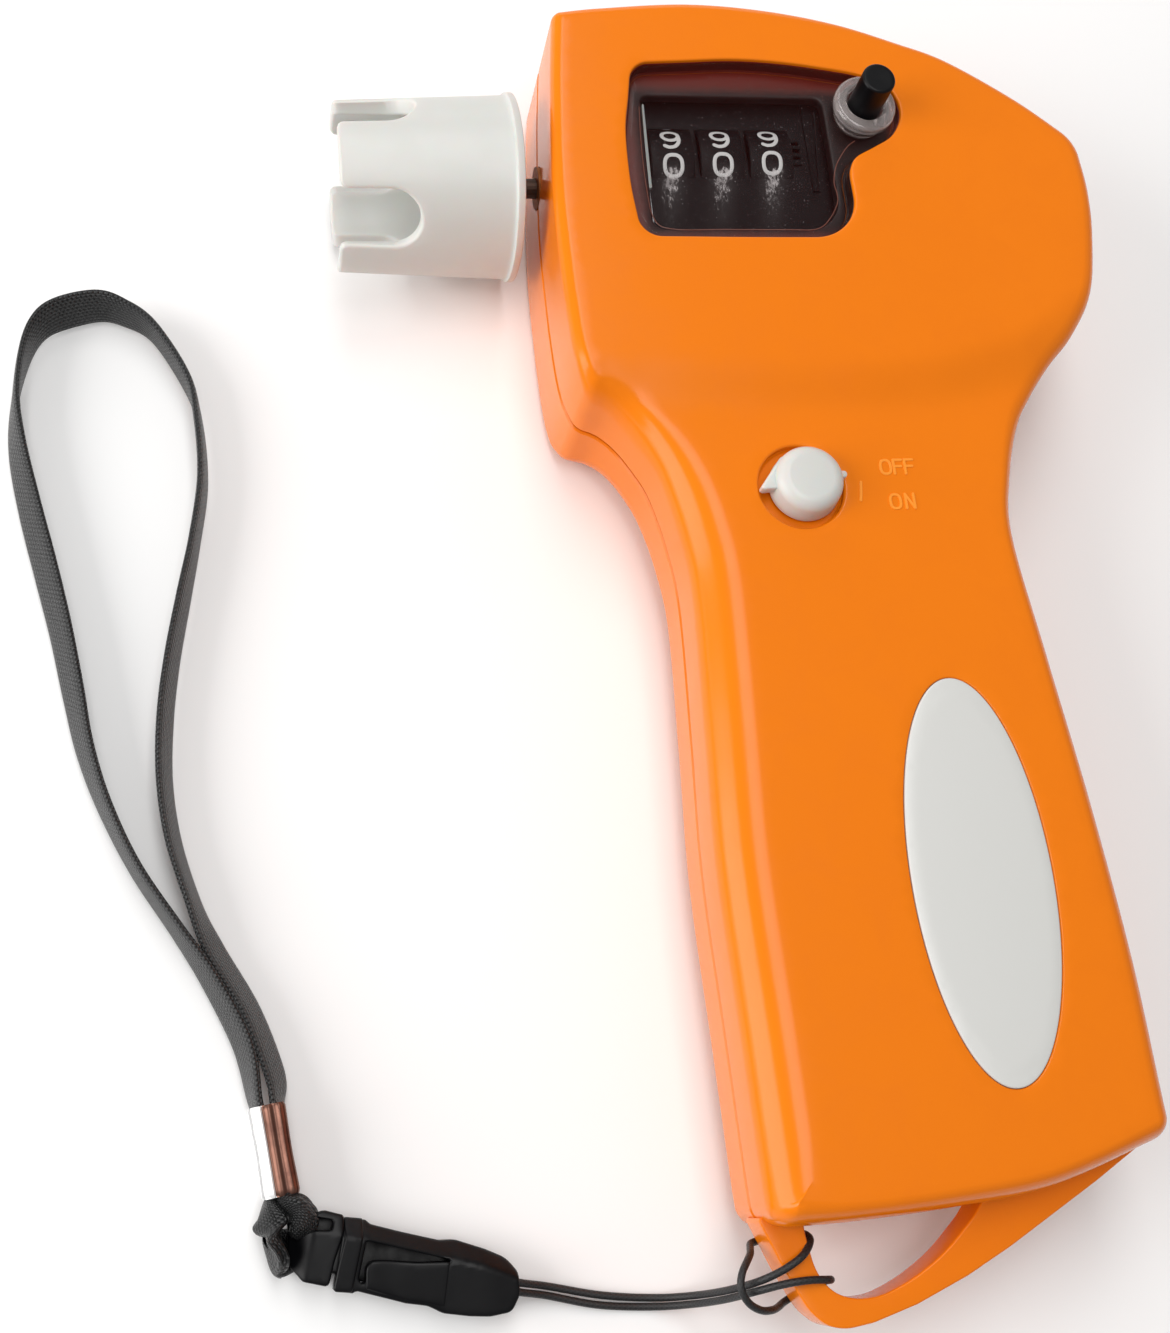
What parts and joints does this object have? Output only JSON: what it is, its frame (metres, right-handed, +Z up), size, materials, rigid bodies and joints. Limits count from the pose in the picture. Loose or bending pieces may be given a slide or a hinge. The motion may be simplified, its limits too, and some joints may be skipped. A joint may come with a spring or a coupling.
{
  "type": "rubber band winder",
  "caption": "Pistol-grip battery winder for rubber-powered models: slotted drive cup, windowed turns counter with reset button, rotary switch, bail and wrist strap.",
  "frame": {"origin": "on the table under the middle of the winder's own box, without the strap and its cord", "axes": "+X from the drive cup to the back of the head, +Y up the grip to the top of the head, +Z up from the table, out of the front shell"},
  "size_m": [0.1332, 0.1534, 0.0288],
  "materials": {
    "orange_plastic": "moulded, satin gloss",
    "white_plastic": "moulded, satin",
    "black_plastic": "moulded, satin",
    "grey_inlay": "moulded, satin",
    "smoked_lens": "clear moulded plastic, smoked",
    "bright_steel": "plated",
    "bush_brass": "turned",
    "cell_jacket": "printed sleeve, left plain",
    "lead_insulation": "soft insulation",
    "black_cord": "braided cord",
    "black_webbing": "woven webbing",
    "nickel": "pressed, plated"
  },
  "bodies": {
    "winder": {"housing_front": "orange_plastic", "housing_rear": "orange_plastic", "window_lens": "smoked_lens", "badge_oval": "grey_inlay", "lanyard_bail": "orange_plastic", "shaft_bush": "bush_brass", "idler_pin": "bright_steel", "motor_can": "bright_steel", "motor_end_bell": "white_plastic", "motor_tab_1": "bush_brass", "motor_tab_2": "bush_brass", "gearbox_plate": "bright_steel", "counter_axle": "bright_steel", "counter_frame": "bright_steel", "reset_spring": "bright_steel", "switch_body": "black_plastic", "battery_cell_1": "cell_jacket", "battery_cell_2": "cell_jacket", "contact_bridge": "bright_steel", "contact_top_1": "bright_steel", "contact_top_2": "bright_steel", "contact_spring_1": "bright_steel", "contact_spring_2": "bright_steel", "housing_screw_1": "bright_steel", "housing_screw_2": "bright_steel", "housing_screw_3": "bright_steel", "housing_screw_4": "bright_steel", "housing_screw_5": "bright_steel", "housing_screw_6": "bright_steel", "lead_motor_a": "lead_insulation", "lead_motor_b": "lead_insulation", "lead_battery": "lead_insulation", "hitch_cord": "black_cord", "buckle_plug": "black_plastic"},
    "output": {"drive_cup": "white_plastic", "output_shaft": "bright_steel", "output_gear": "white_plastic", "counter_pinion": "white_plastic"},
    "idler": {"idler_gear": "white_plastic"},
    "rotor": {"motor_pinion": "bush_brass"},
    "transfer": {"transfer_gear": "white_plastic"},
    "wheel_units": {"counter_wheel_units": "black_plastic"},
    "wheel_tens": {"counter_wheel_tens": "black_plastic"},
    "wheel_hundreds": {"counter_wheel_hundreds": "black_plastic"},
    "button": {"reset_button": "black_plastic"},
    "lever": {"reset_lever": "bright_steel"},
    "knob": {"switch_knob": "white_plastic"},
    "door": {"battery_door": "orange_plastic"},
    "strap": {"buckle_socket": "black_plastic", "strap_fold": "black_webbing", "strap_crimp": "nickel", "wrist_strap": "black_webbing"}
  },
  "joints": [
    {"name": "cup_spin", "type": "hinge", "parent": "winder", "child": "output", "pos_m": [-0.02175, 0.05764, 0.0115], "axis": [1, 0, 0], "continuous": true},
    {"name": "idler_spin", "type": "hinge", "parent": "winder", "child": "idler", "pos_m": [-0.01475, 0.04729, 0.0115], "axis": [1, 0, 0], "continuous": true},
    {"name": "motor_spin", "type": "hinge", "parent": "winder", "child": "rotor", "pos_m": [-0.01275, 0.03829, 0.0115], "axis": [1, 0, 0], "continuous": true},
    {"name": "transfer_spin", "type": "hinge", "parent": "winder", "child": "transfer", "pos_m": [-0.00175, 0.06584, 0.0119], "axis": [1, 0, 0], "continuous": true},
    {"name": "units_spin", "type": "hinge", "parent": "winder", "child": "wheel_units", "pos_m": [0.0063, 0.05834, 0.0135], "axis": [1, 0, 0], "continuous": true},
    {"name": "tens_spin", "type": "hinge", "parent": "winder", "child": "wheel_tens", "pos_m": [0.00005, 0.05834, 0.0135], "axis": [1, 0, 0], "continuous": true},
    {"name": "hundreds_spin", "type": "hinge", "parent": "winder", "child": "wheel_hundreds", "pos_m": [-0.0062, 0.05834, 0.0135], "axis": [1, 0, 0], "continuous": true},
    {"name": "reset_press", "type": "slide", "parent": "winder", "child": "button", "axis": [0, 0, -1], "range_m": [0, 0.0022], "stiffness_N_per_m": 400, "deforming": ["reset_spring"]},
    {"name": "reset_rock", "type": "hinge", "parent": "winder", "child": "lever", "pos_m": [0.00625, 0.04994, 0.012], "axis": [1, 0, 0], "range_deg": [-10.6, 0]},
    {"name": "switch_turn", "type": "hinge", "parent": "winder", "child": "knob", "pos_m": [0.00335, 0.01304, 0.021], "axis": [0, 0, 1], "range_deg": [-21, 0]},
    {"name": "door_slide", "type": "slide", "parent": "winder", "child": "door", "axis": [0, -1, 0], "range_m": [0, 0.05]},
    {"name": "buckle_release", "type": "slide", "parent": "winder", "child": "strap", "axis": [-0.993, 0.118, 0], "range_m": [0, 0.008]}
  ],
  "couplings": [
    {"joint": "idler_spin", "follows": "cup_spin", "ratio": -3.6},
    {"joint": "motor_spin", "follows": "cup_spin", "ratio": 14.4},
    {"joint": "transfer_spin", "follows": "cup_spin", "ratio": -0.2},
    {"joint": "units_spin", "follows": "cup_spin", "ratio": 0.1},
    {"joint": "tens_spin", "follows": "cup_spin", "ratio": 0.01},
    {"joint": "hundreds_spin", "follows": "cup_spin", "ratio": 0.001},
    {"joint": "reset_rock", "follows": "reset_press", "rad_per_m": -82}
  ]
}
